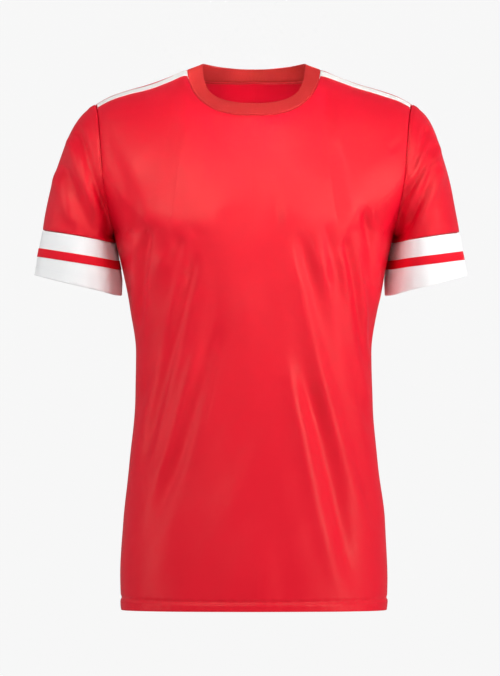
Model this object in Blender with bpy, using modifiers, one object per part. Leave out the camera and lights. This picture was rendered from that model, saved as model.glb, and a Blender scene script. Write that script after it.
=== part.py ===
"""Football jersey with short sleeves, in the hollow form that it keeps when it is worn.

Each piece of cloth is an open surface lofted through sections, and Solidify gives it its wall.
Lengths are in metres. +Z is up and the front faces -Y, so the wearer's left is +X. Heights in the
tables are above the hem. The origin is at the wearer's neck, level with the tops of the shoulders.
"""
import math
from collections import namedtuple

import bmesh
import bpy
from mathutils import Vector

COLLECTION = "football_jersey"

# Cloth
WALL = 0.0015          # thickness of every wall
SEAM = 0.0003          # gap between two pieces that are sewn together
ORIGIN_HEIGHT = 0.727  # the origin above the hem

# Body: heights where the column curves change, and the exponents of the curves
CHEST_CENTRE = 0.500   # fullest part of the chest, on the centre line
CHEST_EDGE = 0.590     # widest part of the armhole
ARMHOLE_BOTTOM = 0.512
ARMHOLE_DEPTH = 0.066  # half of the armhole's width, front to back
BLADE_CENTRE = 0.560   # fullest part of the back, on the centre line
SHOULDER_POINT = 0.2135
NECK_SHARE = 0.5       # the share of a panel's columns that end on the neckline
SIDE_FADE = 0.10       # folds run out over these shares of a panel, at its sides and at its top
TOP_FADE = 0.35

# Neck opening, in plan
NECK_HALF_WIDTH = 0.0895
NECK_FRONT = 0.085
NECK_BACK = 0.058
NECK_SQUARENESS = 2.4
COLLAR_HALF_WIDTH = 0.0685
COLLAR_FRONT = 0.076
COLLAR_BACK = 0.054
COLLAR_SQUARENESS = 2.2
COLLAR_STEP = 0.0012   # the rib starts this far above the panels, as it stands steeper than they do

# Hem: how far it rises above its lowest point, which is at the centre back
HEM_FRONT = 0.0080
HEM_SIDE = 0.0035

# Shoulder tape, by the front panel's columns and its rows above the chest: for each of its own
# rows, the row that it follows, and the column and row where it ends beside the collar
TAPE_ROWS = [
    (0.770, 0.475, 0.899),
    (0.875, 0.494, 0.941),
    (0.885, 0.495, 0.945),
]
TAPE_NECK_START = 0.5  # the first column where it follows those rows
TAPE_ARM_END = 0.994

# Sleeves: lengths in metres, and places as shares of the sleeve from armhole to cuff edge
HANDS = {-1: "right", 1: "left"}
SLEEVE_LENGTH = 0.24   # down the outer edge
CAP_END = 0.20         # the rounded top of the sleeve
CUFF_TOP = 0.74
STRIPE_TOP = 0.84
STRIPE_END = 0.89
BLEND = 0.35           # the armhole's shape fades out over this share
CUFF_GAP = 2.5 * SEAM / SLEEVE_LENGTH  # as the underarm is so much shorter than the outer edge
UNDERARM_STEP = 0.0033  # the sleeve hangs outside the side seam, so it starts two walls further out
ARMHOLE_STEP = 0.0012
UNDERARM_START = 0.6   # share of the armhole above the stretch where the sleeve stands out so
WRAP = 0.0088          # the sleeve's inner side leans round the back of the body by about half this
WRAP_START = 0.1
WRAP_END = 0.4
CAP_FADE = 0.12        # folds run out below the armhole, above the cuff and at the sleeve's edges
CUFF_FADE = 0.15
EDGE_FADE = 0.03       # a length, in from the edges

# Folds
FOLD_OVERRUN = 0.06    # shares of a fold's length: past its ends, and over which it fades out
FOLD_FADE = 0.30

# Grids
FRONT_COLUMNS = 52
FRONT_ROWS = (15, 3, 8)  # below the armhole, beside its lower half, and above that
BACK_COLUMNS = 42
BACK_ROWS = (11, 3, 7)
SLEEVE_COLUMNS = 28
CAP_ROWS = 4
SLEEVE_ROWS = 6
COLLAR_COLUMNS = 48
NORMAL_STEP = 0.002    # how far along a surface its slope is measured


class Table:
    """Named columns against their first one, joined by smooth curves that never overshoot."""

    def __init__(self, columns, rows):
        self.row = namedtuple("Row", columns)
        self.keys = [row[0] for row in rows]
        self.columns = [[row[i] for row in rows] for i in range(len(rows[0]))]
        self.slopes = [self.slopes_of(values) for values in self.columns]

    def slopes_of(self, values):
        rises = []
        for i in range(len(values) - 1):
            rises.append((values[i + 1] - values[i]) / (self.keys[i + 1] - self.keys[i]))
        slopes = [rises[0]]
        for left, right in zip(rises, rises[1:]):
            slopes.append(2 * left * right / (left + right) if left * right > 0 else 0.0)
        return slopes + [rises[-1]]

    def at(self, key):
        key = min(max(key, self.keys[0]), self.keys[-1])
        i = 0
        while i < len(self.keys) - 2 and key > self.keys[i + 1]:
            i += 1
        span = self.keys[i + 1] - self.keys[i]
        t = (key - self.keys[i]) / span
        values = []
        for column, slopes in zip(self.columns, self.slopes):
            start, end = column[i], column[i + 1]
            values.append(
                (2 * t ** 3 - 3 * t ** 2 + 1) * start + (3 * t ** 2 - 2 * t ** 3) * end
                + span * (t ** 3 - 2 * t ** 2 + t) * slopes[i]
                + span * (t ** 3 - t ** 2) * slopes[i + 1]
            )
        return self.row(*values)


# Level sections of the body. half_width is to the side seam, and above the armhole's bottom to
# the armhole. squareness is the exponent of the section's curve, 2 for an ellipse.
BODY = Table("height half_width front back squareness", [
    (0.000, 0.1776, 0.1290, 0.1250, 2.30),
    (0.045, 0.1788, 0.1285, 0.1255, 2.30),
    (0.124, 0.1748, 0.1245, 0.1235, 2.26),
    (0.205, 0.1653, 0.1195, 0.1160, 2.22),
    (0.287, 0.1586, 0.1165, 0.1060, 2.20),
    (0.350, 0.1576, 0.1175, 0.1030, 2.20),
    (0.408, 0.1653, 0.1235, 0.1070, 2.24),
    (0.455, 0.1743, 0.1295, 0.1150, 2.28),
    (0.512, 0.1878, 0.1335, 0.1230, 2.32),
    (0.545, 0.1950, 0.1335, 0.1250, 2.34),
    (0.566, 0.1987, 0.1330, 0.1255, 2.35),
    (0.590, 0.2020, 0.1320, 0.1255, 2.35),
])

# How round the front and the back are where they turn over the ridge, and how late they rise to it,
# by column. 1 is a sharp crest and 2 a round one.
FRONT_RIDGE = Table("column curve rise", [(0.0, 1.41, 2.2), (0.5, 1.20, 2.2), (1.0, 1.42, 2.2)])
BACK_RIDGE = Table("column curve rise", [(0.0, 1.20, 1.7), (0.5, 1.50, 2.2), (1.0, 1.65, 2.2)])

# The ridge that each panel rises to, out from the centre line. Outside the neck opening both have
# the shoulder's ridge, and inside it a height above the neckline.
SHOULDER = [
    (0.110, 0.7225),
    (0.141, 0.7112),
    (0.172, 0.7022),
    (0.192, 0.6952),
    (0.214, 0.6835),
]
FRONT_HEIGHT = Table("out height", [(0.000, 0.7345), (0.020, 0.7344), (0.091, 0.7300)] + SHOULDER)
BACK_HEIGHT = Table("out height", [
    (0.000, 0.7742),
    (0.034, 0.7620),
    (0.058, 0.7485),
    (0.075, 0.7378),
    (0.0895, 0.7306),
] + SHOULDER)

# Sections of the sleeves from armhole to cuff. share runs down the sleeve. Each section is an oval
# from the sleeve's outer edge, which the right and left sleeves hold a little differently, to its
# underarm edge. depth is half the oval's size front to back.
SLEEVE = Table("share right_x right_z left_x left_z inner_x inner_z depth", [
    (0.00, 0.2135, 0.6835, 0.2135, 0.6835, 0.1911, 0.5120, 0.0660),
    (0.10, 0.2305, 0.6700, 0.2295, 0.6700, 0.1914, 0.5100, 0.0690),
    (0.20, 0.2450, 0.6485, 0.2420, 0.6480, 0.1916, 0.5085, 0.0705),
    (0.34, 0.2598, 0.6100, 0.2545, 0.6095, 0.1914, 0.5065, 0.0715),
    (0.50, 0.2725, 0.5700, 0.2655, 0.5690, 0.1908, 0.5050, 0.0715),
    (0.66, 0.2812, 0.5330, 0.2725, 0.5305, 0.1900, 0.5030, 0.0710),
    (0.74, 0.2843, 0.5150, 0.2755, 0.5120, 0.1888, 0.4985, 0.0705),
    (0.84, 0.2890, 0.4910, 0.2800, 0.4865, 0.1852, 0.4740, 0.0675),
    (0.89, 0.2910, 0.4795, 0.2825, 0.4750, 0.1826, 0.4620, 0.0655),
    (0.94, 0.2925, 0.4680, 0.2845, 0.4655, 0.1806, 0.4460, 0.0635),
    (1.00, 0.2947, 0.4545, 0.2870, 0.4535, 0.1812, 0.4270, 0.0605),
])

# The collar's free edge, by the angle round the neck from the centre front
COLLAR_EDGE = Table("angle height", [
    (0.0, 0.6830),
    (8.0, 0.6832),
    (30.0, 0.6870),
    (55.0, 0.6980),
    (75.0, 0.7175),
    (90.0, 0.7380),
    (110.0, 0.7405),
    (145.0, 0.7380),
    (172.0, 0.7361),
    (180.0, 0.7360),
])

# Folds, as ridges (+) and troughs (-) seen square to the panel: x, then height, at the top, the
# middle and the foot of each, its rise, and its half width.
Fold = namedtuple("Fold", "x1 z1 x2 z2 x3 z3 rise spread")
FRONT_FOLDS = [
    Fold(-0.120, 0.489, -0.140, 0.421, -0.147, 0.354, -0.0036, 0.011),
    Fold(-0.092, 0.482, -0.118, 0.383, -0.145, 0.273, -0.0074, 0.012),
    Fold(-0.082, 0.490, -0.099, 0.381, -0.128, 0.290, 0.0057, 0.013),
    Fold(-0.062, 0.400, -0.088, 0.306, -0.128, 0.190, -0.0065, 0.013),
    Fold(-0.046, 0.415, -0.072, 0.306, -0.128, 0.150, 0.0049, 0.016),
    Fold(-0.034, 0.313, -0.034, 0.210, -0.036, 0.060, -0.0041, 0.016),
    Fold(0.002, 0.420, 0.010, 0.250, 0.024, 0.000, 0.0057, 0.020),
    Fold(0.038, 0.330, 0.053, 0.205, 0.070, 0.060, -0.0049, 0.018),
    Fold(0.062, 0.330, 0.092, 0.175, 0.142, 0.010, 0.0061, 0.016),
    Fold(0.068, 0.250, 0.094, 0.124, 0.124, 0.020, -0.0049, 0.013),
    Fold(0.068, 0.462, 0.102, 0.335, 0.158, 0.140, 0.0057, 0.016),
    Fold(0.086, 0.486, 0.115, 0.333, 0.155, 0.190, -0.0078, 0.012),
    Fold(0.108, 0.466, 0.129, 0.368, 0.156, 0.230, 0.0052, 0.012),
    Fold(0.120, 0.502, 0.138, 0.394, 0.150, 0.300, -0.0052, 0.012),
    Fold(0.150, 0.556, 0.163, 0.450, 0.158, 0.350, -0.0065, 0.016),
    Fold(-0.190, 0.636, -0.176, 0.585, -0.150, 0.500, -0.0045, 0.013),
    Fold(0.150, 0.650, 0.160, 0.580, 0.146, 0.500, -0.0041, 0.022),
]
BACK_FOLDS = [
    Fold(-0.130, 0.520, -0.110, 0.400, -0.128, 0.260, -0.0071, 0.017),
    Fold(-0.100, 0.470, -0.082, 0.340, -0.100, 0.150, 0.0055, 0.015),
    Fold(-0.060, 0.430, -0.055, 0.300, -0.072, 0.120, -0.0071, 0.015),
    Fold(-0.028, 0.400, -0.022, 0.250, -0.030, 0.030, 0.0055, 0.019),
    Fold(0.008, 0.420, 0.012, 0.270, 0.010, 0.080, -0.0055, 0.015),
    Fold(0.046, 0.440, 0.048, 0.300, 0.060, 0.020, 0.0062, 0.018),
    Fold(0.082, 0.450, 0.080, 0.330, 0.102, 0.160, -0.0071, 0.014),
    Fold(0.118, 0.520, 0.108, 0.380, 0.130, 0.200, 0.0055, 0.015),
    Fold(-0.120, 0.660, -0.080, 0.630, -0.020, 0.615, -0.0040, 0.018),
    Fold(0.118, 0.650, 0.070, 0.615, 0.010, 0.600, -0.0040, 0.020),
]
# Sleeve folds, x measured outwards
SLEEVE_FRONT_FOLDS = {
    "right": [
        Fold(0.240, 0.650, 0.226, 0.605, 0.204, 0.556, -0.0035, 0.009),
        Fold(0.251, 0.645, 0.240, 0.600, 0.218, 0.552, 0.0025, 0.010),
        Fold(0.266, 0.528, 0.250, 0.556, 0.230, 0.590, -0.0025, 0.009),
        Fold(0.236, 0.552, 0.224, 0.532, 0.212, 0.505, -0.0035, 0.009),
    ],
    "left": [
        Fold(0.234, 0.650, 0.222, 0.600, 0.205, 0.560, -0.0040, 0.009),
        Fold(0.247, 0.636, 0.238, 0.590, 0.216, 0.536, 0.0028, 0.010),
        Fold(0.244, 0.610, 0.228, 0.560, 0.204, 0.508, -0.0035, 0.009),
    ],
}
SLEEVE_BACK_FOLDS = {
    "right": [
        Fold(0.236, 0.645, 0.228, 0.590, 0.212, 0.540, -0.0035, 0.010),
        Fold(0.262, 0.560, 0.240, 0.540, 0.214, 0.512, -0.0030, 0.010),
    ],
    "left": [
        Fold(0.232, 0.640, 0.220, 0.590, 0.208, 0.548, -0.0035, 0.010),
        Fold(0.256, 0.590, 0.236, 0.556, 0.210, 0.515, -0.0030, 0.011),
    ],
}


def power(value, exponent):
    """The value's size raised to the exponent, with the value's own sign."""
    return math.copysign(abs(value) ** exponent, value)


def smooth_step(value):
    value = min(max(value, 0.0), 1.0)
    return value * value * (3 - 2 * value)


def blend(start, end, share):
    return start + (end - start) * share


def fold_relief(folds, x, height):
    """How far the folds lift the cloth at a place seen square to the panel."""
    lift = 0.0
    for fold in folds:
        start = Vector((fold.x1, fold.z1))
        bend = Vector((fold.x2, fold.z2)) * 2 - (start + Vector((fold.x3, fold.z3))) / 2
        end = Vector((fold.x3, fold.z3))
        run = end - start
        along = (Vector((x, height)) - start).dot(run) / run.length_squared
        if not -FOLD_OVERRUN < along < 1 + FOLD_OVERRUN:
            continue
        t = min(max(along, 0.0), 1.0)
        path = start * (1 - t) ** 2 + bend * 2 * t * (1 - t) + end * t ** 2
        away = (Vector((x, height)) - path).length / fold.spread
        fade = smooth_step((along + FOLD_OVERRUN) / FOLD_FADE)
        fade *= smooth_step((1 + FOLD_OVERRUN - along) / FOLD_FADE)
        lift += fold.rise * fade * math.exp(-away ** 2)
    return lift


# ---- Body panels ----

def armhole_reach(height):
    """How far in front of the side seam the armhole's edge is, at a height."""
    if height <= ARMHOLE_BOTTOM:
        return 0.0
    below = (CHEST_EDGE - height) / (CHEST_EDGE - ARMHOLE_BOTTOM)
    return ARMHOLE_DEPTH * math.sqrt(max(0.0, 1 - below ** 2))


def body_section(side, u, height):
    """A place on a level section. side is -1 for the front and 1 for the back."""
    row = BODY.at(height)
    depth = row.front if side < 0 else row.back
    n = row.squareness
    edge_angle = math.acos((armhole_reach(height) / depth) ** (n / 2))
    full_width = row.half_width / math.sin(edge_angle) ** (2 / n)
    angle = u * edge_angle
    x = full_width * power(math.sin(angle), 2 / n)
    y = depth * math.cos(angle) ** (2 / n)
    return x, side * y, full_width, depth, n


def neck_plan(side, angle):
    """The neckline seen from above, by the angle from the centre front or back."""
    reach = NECK_FRONT if side < 0 else NECK_BACK
    exponent = 2 / NECK_SQUARENESS
    x = NECK_HALF_WIDTH * power(math.sin(angle), exponent)
    return x, reach * abs(math.cos(angle)) ** exponent


def panel_base(side, u, v):
    """A body panel without folds. u runs from side to side (-1 to 1). v runs from the hem (0)
    through the fullest part of the chest (1) to the shoulder and neck seams (2)."""
    centre = CHEST_CENTRE if side < 0 else BLADE_CENTRE
    chest = blend(centre, CHEST_EDGE, u * u)
    if v <= 1:
        x, y = body_section(side, u, chest * v)[:2]
        hem = blend(HEM_SIDE, HEM_FRONT if side < 0 else 0.0, math.cos(math.pi / 2 * u))
        return Vector((x, y + side * SEAM / 2, chest * v + hem * (1 - v) ** 4))
    start_x, _, full_width, depth, n = body_section(side, u, chest)
    out = abs(u)
    if out < NECK_SHARE:
        top_x, top_y = neck_plan(side, math.pi / 2 * out / NECK_SHARE)
    else:
        share = (out - NECK_SHARE) / (1 - NECK_SHARE)
        top_x, top_y = blend(NECK_HALF_WIDTH, SHOULDER_POINT, share), 0.0
    top_x = math.copysign(top_x, u)
    ridge = (FRONT_RIDGE if side < 0 else BACK_RIDGE).at(out)
    x = blend(start_x, top_x, v - 1)

    def depth_at(place):
        return depth * (1 - abs(place / full_width) ** n) ** (1 / n)

    top_angle = math.acos(min(1.0, top_y / depth_at(top_x)) ** (ridge.curve / 2))
    angle = top_angle * (v - 1)
    y = depth_at(x) * max(0.0, math.cos(angle)) ** (2 / ridge.curve)
    top_height = (FRONT_HEIGHT if side < 0 else BACK_HEIGHT).at(abs(x)).height
    height = blend(chest, top_height, math.sin(angle) ** (2 / ridge.rise))
    return Vector((x, side * (y + SEAM / 2), height))


def outward(surface, part, u, v, low, high):
    """The normal of a body panel or sleeve, from places a little way along it both ways."""
    across = surface(part, min(u + NORMAL_STEP, high[0]), v)
    across -= surface(part, max(u - NORMAL_STEP, low[0]), v)
    up = surface(part, u, min(v + NORMAL_STEP, high[1]))
    up -= surface(part, u, max(v - NORMAL_STEP, low[1]))
    return across.cross(up).normalized()


def panel_point(side, u, v, lift=0.0):
    """A body panel with its folds, moved out by lift."""
    base = panel_base(side, u, v)
    normal = outward(panel_base, side, u, v, (-1, 0), (1, 2)) * -side
    folds = FRONT_FOLDS if side < 0 else BACK_FOLDS
    inside = smooth_step((1 - abs(u)) / SIDE_FADE) * smooth_step((2 - v) / TOP_FADE)
    return base + normal * (fold_relief(folds, base.x, base.z) * inside + lift)


def spaced(start, end, count):
    return [blend(start, end, i / count) for i in range(count)]


def body_rows(below, round_armhole, above):
    """Row places, with one row exactly at the armhole's bottom."""
    corner = ARMHOLE_BOTTOM / CHEST_EDGE
    return spaced(0, corner, below) + spaced(corner, 1, round_armhole) + spaced(1, 2, above) + [2]


# ---- Sleeves ----

def armhole_point(side, hand, share):
    """The armhole's edge on a body panel, from the shoulder (0) to the underarm (1)."""
    if share < 0.5:
        v = 2 - 2 * share
    else:
        drop = math.sin(math.pi * (share - 0.5))
        v = blend(CHEST_EDGE, ARMHOLE_BOTTOM, 1 - math.sqrt(max(0.0, 1 - drop ** 2))) / CHEST_EDGE
    return panel_base(side, hand, v)


def sleeve_oval(hand, angle, share):
    """A plain oval section. angle runs from the outer edge (0) by the front to the underarm."""
    row = SLEEVE.at(share)
    outer = Vector((row.left_x, 0, row.left_z) if hand > 0 else (row.right_x, 0, row.right_z))
    inner = Vector((row.inner_x, 0, row.inner_z))
    point = (outer + inner) / 2 + (outer - inner) / 2 * math.cos(angle)
    point.y = -row.depth * math.sin(angle)
    if math.cos(angle) < 0:
        wrap = WRAP * smooth_step((share - WRAP_START) / (WRAP_END - WRAP_START))
        point.x -= wrap * math.sin(2 * angle) * math.cos(angle) ** 4
    return Vector((point.x * hand, point.y, point.z))


def armhole_ring(hand, angle):
    """The armhole by the same angle as the sleeve's sections, a step clear of the panels."""
    side = -1 if angle <= math.pi else 1
    share = angle / math.pi if side < 0 else 2 - angle / math.pi
    point = armhole_point(side, hand, share)
    low = smooth_step((share - UNDERARM_START) / (1 - UNDERARM_START))
    step = blend(ARMHOLE_STEP, UNDERARM_STEP, low)
    return point + Vector((hand * step, 0, 0))


def sleeve_base(hand, angle, share):
    angle = angle % (2 * math.pi)
    point = sleeve_oval(hand, angle, share)
    if share < BLEND:
        first = armhole_ring(hand, angle) - sleeve_oval(hand, angle, 0)
        point += first * (1 - smooth_step(share / BLEND))
    return point


def sleeve_point(hand, angle, share, lift=0.0):
    """A sleeve or cuff with its folds, moved out by lift."""
    base = sleeve_base(hand, angle, share)
    normal = outward(sleeve_base, hand, angle, share, (-math.inf, 0), (math.inf, 1)) * hand
    folds = (SLEEVE_FRONT_FOLDS if base.y < 0 else SLEEVE_BACK_FOLDS)[HANDS[hand]]
    inside = smooth_step(share / CAP_FADE) * smooth_step((CUFF_TOP - share) / CUFF_FADE)
    facing = smooth_step(abs(base.y) / EDGE_FADE)
    return base + normal * (fold_relief(folds, abs(base.x), base.z) * inside * facing + lift)


# ---- Collar ----

def neck_seam(angle):
    """The neckline on the panels, by the angle in degrees from the centre front."""
    turn = (angle + 180) % 360 - 180
    side = -1 if abs(turn) <= 90 else 1
    share = abs(turn) / 90 if side < 0 else (180 - abs(turn)) / 90
    return panel_base(side, math.copysign(NECK_SHARE * share, turn), 2)


def collar_point(angle, rise):
    """The collar from its seam (0) to its free edge (1)."""
    turn = (angle + 180) % 360 - 180
    radians = math.radians(turn)
    exponent = 2 / COLLAR_SQUARENESS
    reach = COLLAR_FRONT if abs(turn) <= 90 else COLLAR_BACK
    edge = Vector((
        COLLAR_HALF_WIDTH * power(math.sin(radians), exponent),
        -reach * power(math.cos(radians), exponent),
        COLLAR_EDGE.at(abs(turn)).height,
    ))
    seam = neck_seam(angle)
    first = COLLAR_STEP / (edge - seam).length
    return seam.lerp(edge, blend(first, 1, rise))


# ---- Blender objects ----

def cloth_material(name, colour, roughness):
    material = bpy.data.materials.new(name)
    material.use_nodes = True
    shader = material.node_tree.nodes["Principled BSDF"]
    shader.inputs["Base Color"].default_value = (*colour, 1)
    shader.inputs["Roughness"].default_value = roughness
    shader.inputs["Metallic"].default_value = 0
    material.diffuse_color = (*colour, 1)
    return material


def make_cloth(collection, name, rows, material, closed=False, turned=False):
    """Loft a surface through rows of points, and give it a wall outwards."""
    shell = bmesh.new()
    drop = Vector((0, 0, ORIGIN_HEIGHT))
    grid = [[shell.verts.new(point - drop) for point in row] for row in rows]
    count = len(rows[0])
    for low, high in zip(grid, grid[1:]):
        for i in range(count if closed else count - 1):
            j = (i + 1) % count
            corners = (low[i], low[j], high[j], high[i])
            shell.faces.new(corners[::-1] if turned else corners)
    mesh = bpy.data.meshes.new(name)
    shell.to_mesh(mesh)
    shell.free()
    mesh.shade_smooth()
    mesh.materials.append(material)
    cloth = bpy.data.objects.new(name, mesh)
    collection.objects.link(cloth)
    wall = cloth.modifiers.new("wall", "SOLIDIFY")
    wall.thickness = WALL
    wall.offset = 1
    return cloth


def make_body(collection, red):
    for name, side, columns, rows in (
        ("front", -1, FRONT_COLUMNS, body_rows(*FRONT_ROWS)),
        ("back", 1, BACK_COLUMNS, body_rows(*BACK_ROWS)),
    ):
        places = [-1 + 2 * i / columns for i in range(columns + 1)]
        points = [[panel_point(side, u, v) for u in places] for v in rows]
        make_cloth(collection, name, points, red, turned=side > 0)


def sleeve_rows(hand, shares, lift=0.0):
    angles = [2 * math.pi * i / SLEEVE_COLUMNS for i in range(SLEEVE_COLUMNS)]
    return [[sleeve_point(hand, angle, share, lift) for angle in angles] for share in shares]


def make_sleeves(collection, red, white):
    top = spaced(0, CAP_END, CAP_ROWS) + spaced(CAP_END, CUFF_TOP, SLEEVE_ROWS) + [CUFF_TOP]
    cuff = spaced(CUFF_TOP + CUFF_GAP, STRIPE_TOP, 2) + [STRIPE_TOP] + spaced(STRIPE_END, 1, 2) + [1]
    for hand, hand_name in HANDS.items():
        turned = hand > 0
        make_cloth(collection, f"sleeve_{hand_name}", sleeve_rows(hand, top), red, True, turned)
        make_cloth(collection, f"cuff_{hand_name}", sleeve_rows(hand, cuff), white, True, turned)
        stripe = sleeve_rows(hand, [STRIPE_TOP, STRIPE_END], WALL + SEAM)
        make_cloth(collection, f"stripe_{hand_name}", stripe, red, True, turned)


def make_collar(collection, rib):
    angles = [360 * i / COLLAR_COLUMNS for i in range(COLLAR_COLUMNS)]
    rows = [[collar_point(angle, rise) for angle in angles] for rise in (0, 0.5, 1)]
    make_cloth(collection, "collar", rows, rib, True)


def make_shoulder_tapes(collection, white):
    columns = [2 * i / FRONT_COLUMNS for i in range(FRONT_COLUMNS // 2)]
    columns = [u for u in columns if u >= TAPE_NECK_START] + [TAPE_ARM_END]
    for hand, hand_name in HANDS.items():
        rows = []
        for row, neck_column, neck_row in TAPE_ROWS:
            places = [(neck_column, neck_row)] + [(u, row) for u in columns]
            rows.append([panel_point(-1, hand * u, 1 + v, WALL + SEAM) for u, v in places])
        make_cloth(collection, f"shoulder_tape_{hand_name}", rows, white, turned=hand < 0)


def main():
    for thing in list(bpy.data.objects):
        bpy.data.objects.remove(thing, do_unlink=True)
    collection = bpy.data.collections.new(COLLECTION)
    bpy.context.scene.collection.children.link(collection)
    red = cloth_material("red_interlock", (0.78, 0.010, 0.028), 0.55)
    white = cloth_material("white_interlock", (0.86, 0.87, 0.88), 0.6)
    rib = cloth_material("red_rib", (0.74, 0.020, 0.034), 0.75)
    make_body(collection, red)
    make_sleeves(collection, red, white)
    make_collar(collection, rib)
    make_shoulder_tapes(collection, white)


main()
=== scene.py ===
"""Looks of the football jersey: every piece of cloth as a thin sheet on its solid's form, with its
folds, hems, seams and stitches.

Lengths are in metres, heights in the tables are above the hem, and left and right are the wearer's.
The front has side -1 and the back has side 1. The right has hand -1 and the left has hand 1.
"""
import math
from collections import namedtuple
from functools import partial

import bmesh
import bpy
import numpy as np
from mathutils import Matrix, Vector


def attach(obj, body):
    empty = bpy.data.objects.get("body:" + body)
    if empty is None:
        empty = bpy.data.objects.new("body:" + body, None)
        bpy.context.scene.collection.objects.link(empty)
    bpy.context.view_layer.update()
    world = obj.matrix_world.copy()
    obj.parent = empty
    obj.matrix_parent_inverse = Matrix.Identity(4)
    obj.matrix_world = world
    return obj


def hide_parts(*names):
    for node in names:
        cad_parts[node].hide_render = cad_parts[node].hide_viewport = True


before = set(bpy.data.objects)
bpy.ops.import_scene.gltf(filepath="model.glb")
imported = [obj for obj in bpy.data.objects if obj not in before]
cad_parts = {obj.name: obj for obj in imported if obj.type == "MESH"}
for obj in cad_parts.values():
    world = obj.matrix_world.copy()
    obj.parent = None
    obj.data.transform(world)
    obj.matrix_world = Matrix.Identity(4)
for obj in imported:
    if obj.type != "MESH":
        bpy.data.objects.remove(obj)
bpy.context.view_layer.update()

# Form of the body, as the solids have it
ORIGIN_HEIGHT = 0.727
CHEST_CENTRE = 0.500    # fullest part of the front at its middle, of the back at its middle,
BLADE_CENTRE = 0.560    # and of both at the armholes
CHEST_EDGE = 0.590
ARMHOLE_BOTTOM = 0.512
ARMHOLE_DEPTH = 0.066
SHOULDER_POINT = 0.2135
PANEL_GAP = 0.0003
NECK_SHARE = 0.5        # share of each half of a panel's top that is neckline
NECK_HALF_WIDTH = 0.0895
NECK_FRONT = 0.085
NECK_BACK = 0.058
NECK_SQUARENESS = 2.4
HEM_FRONT = 0.0080      # how far the hem rises at the middle of the front and at the sides,
HEM_SIDE = 0.0035       # and the power by which the rise dies out above it
HEM_POWER = 4

# Collar
COLLAR_HALF_WIDTH = 0.0685
COLLAR_FRONT = 0.076
COLLAR_BACK = 0.054
COLLAR_SQUARENESS = 2.2

# Sleeves, in shares of their length from the armhole to the cuff's hem
HANDS = {-1: "right", 1: "left"}
CUFF_TOP = 0.74
STRIPE_TOP = 0.84
STRIPE_END = 0.89
BLEND = 0.35            # where the armhole's shape has turned into the sleeve's own
WRAP_START = 0.1        # where the sleeve's inner side wraps round the body, and how far
WRAP_END = 0.4
WRAP = 0.0088
UNDERARM_START = 0.6    # share of the armhole from which the sleeve steps further out of it
UNDERARM_STEP = 0.0026
ARMHOLE_STEP = 0.0007

# Shoulder tape, seen from the front: how far each edge lies under the shoulder seam
TAPE_HIGH = 0.0014
TAPE_NECK = (0.0880, 0.0895)    # where the lower and the upper edge start, and both end
TAPE_ARM = 0.2125

# Cloth
FACE = 0.0015           # outer face of the cloth, out from the form's inner face
THICK = 0.0008          # thickness of the interlock
INNER = -0.0002         # lift of the turned-in layer of a hem
TURN = 0.00085          # radius of a turned hem's fold
HEM_DEPTH = 0.0145      # height of a turned hem
NORMAL_STEP = 0.002

# Folds: shares of a fold's length by which it runs on past its ends, over which it rises at a top
# above CREST_TOPS, and over which it dies at its foot or rises at a lower top
FOLD_OVERRUN = 0.06
TOP_RUN = 0.14
FOOT_RUN = 0.32
CREST_TOPS = 0.47
UNEVEN = 0.15           # how much a fold swells and sinks, and the radians of that along it
UNEVEN_ALONG = 9.1      # and from one fold to the next
UNEVEN_NEXT = 2.3

# Shares of a panel over which its folds and ripples fade out at the sides and at the top
SIDE_FADE = 0.10
TOP_FADE = 0.35
RIPPLE_SIDE_FADE = 0.05
RIPPLE_TOP_FADE = 0.12

# The same on a sleeve, in shares of its length, and out from its edges seen from the front
CAP_FADE = 0.12
CUFF_FADE = 0.15
EDGE_FADE = 0.03
SLEEVE_RIPPLE = 0.7     # height of its ripples against a panel's
SLEEVE_RIPPLE_FADE = 0.1

# Rows of a panel are level from side to side up to the first share of its height, and take on
# its form over the second
LEVEL_END = 0.05
LEVEL_RUN = 0.3

# Rough sizes that turn shares into metres: middle to side, chest to shoulder, armhole to hem
HALF_PANEL = 0.25
UPPER_PANEL = 0.22
SLEEVE_LENGTH = 0.2


class Table:
    """Named columns against their first one, joined by smooth curves that never overshoot."""

    def __init__(self, columns, rows):
        self.row = namedtuple("Row", columns)
        self.rows = np.array(rows)
        self.keys = self.rows[:, 0]
        rises = np.diff(self.rows, axis=0) / np.diff(self.keys)[:, None]
        product = rises[:-1] * rises[1:]
        total = np.where(product > 0, rises[:-1] + rises[1:], 1)
        middle = np.where(product > 0, 2 * product / total, 0)
        self.slopes = np.vstack([rises[:1], middle, rises[-1:]])

    def at(self, key):
        key = np.clip(key, self.keys[0], self.keys[-1])
        i = np.clip(np.searchsorted(self.keys, key) - 1, 0, len(self.keys) - 2)
        span = (self.keys[i + 1] - self.keys[i])[..., None]
        t = (key - self.keys[i])[..., None] / span
        values = (
            (2 * t ** 3 - 3 * t ** 2 + 1) * self.rows[i]
            + (3 * t ** 2 - 2 * t ** 3) * self.rows[i + 1]
            + span * (t ** 3 - 2 * t ** 2 + t) * self.slopes[i]
            + span * (t ** 3 - t ** 2) * self.slopes[i + 1]
        )
        return self.row(*np.moveaxis(values, -1, 0))


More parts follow.
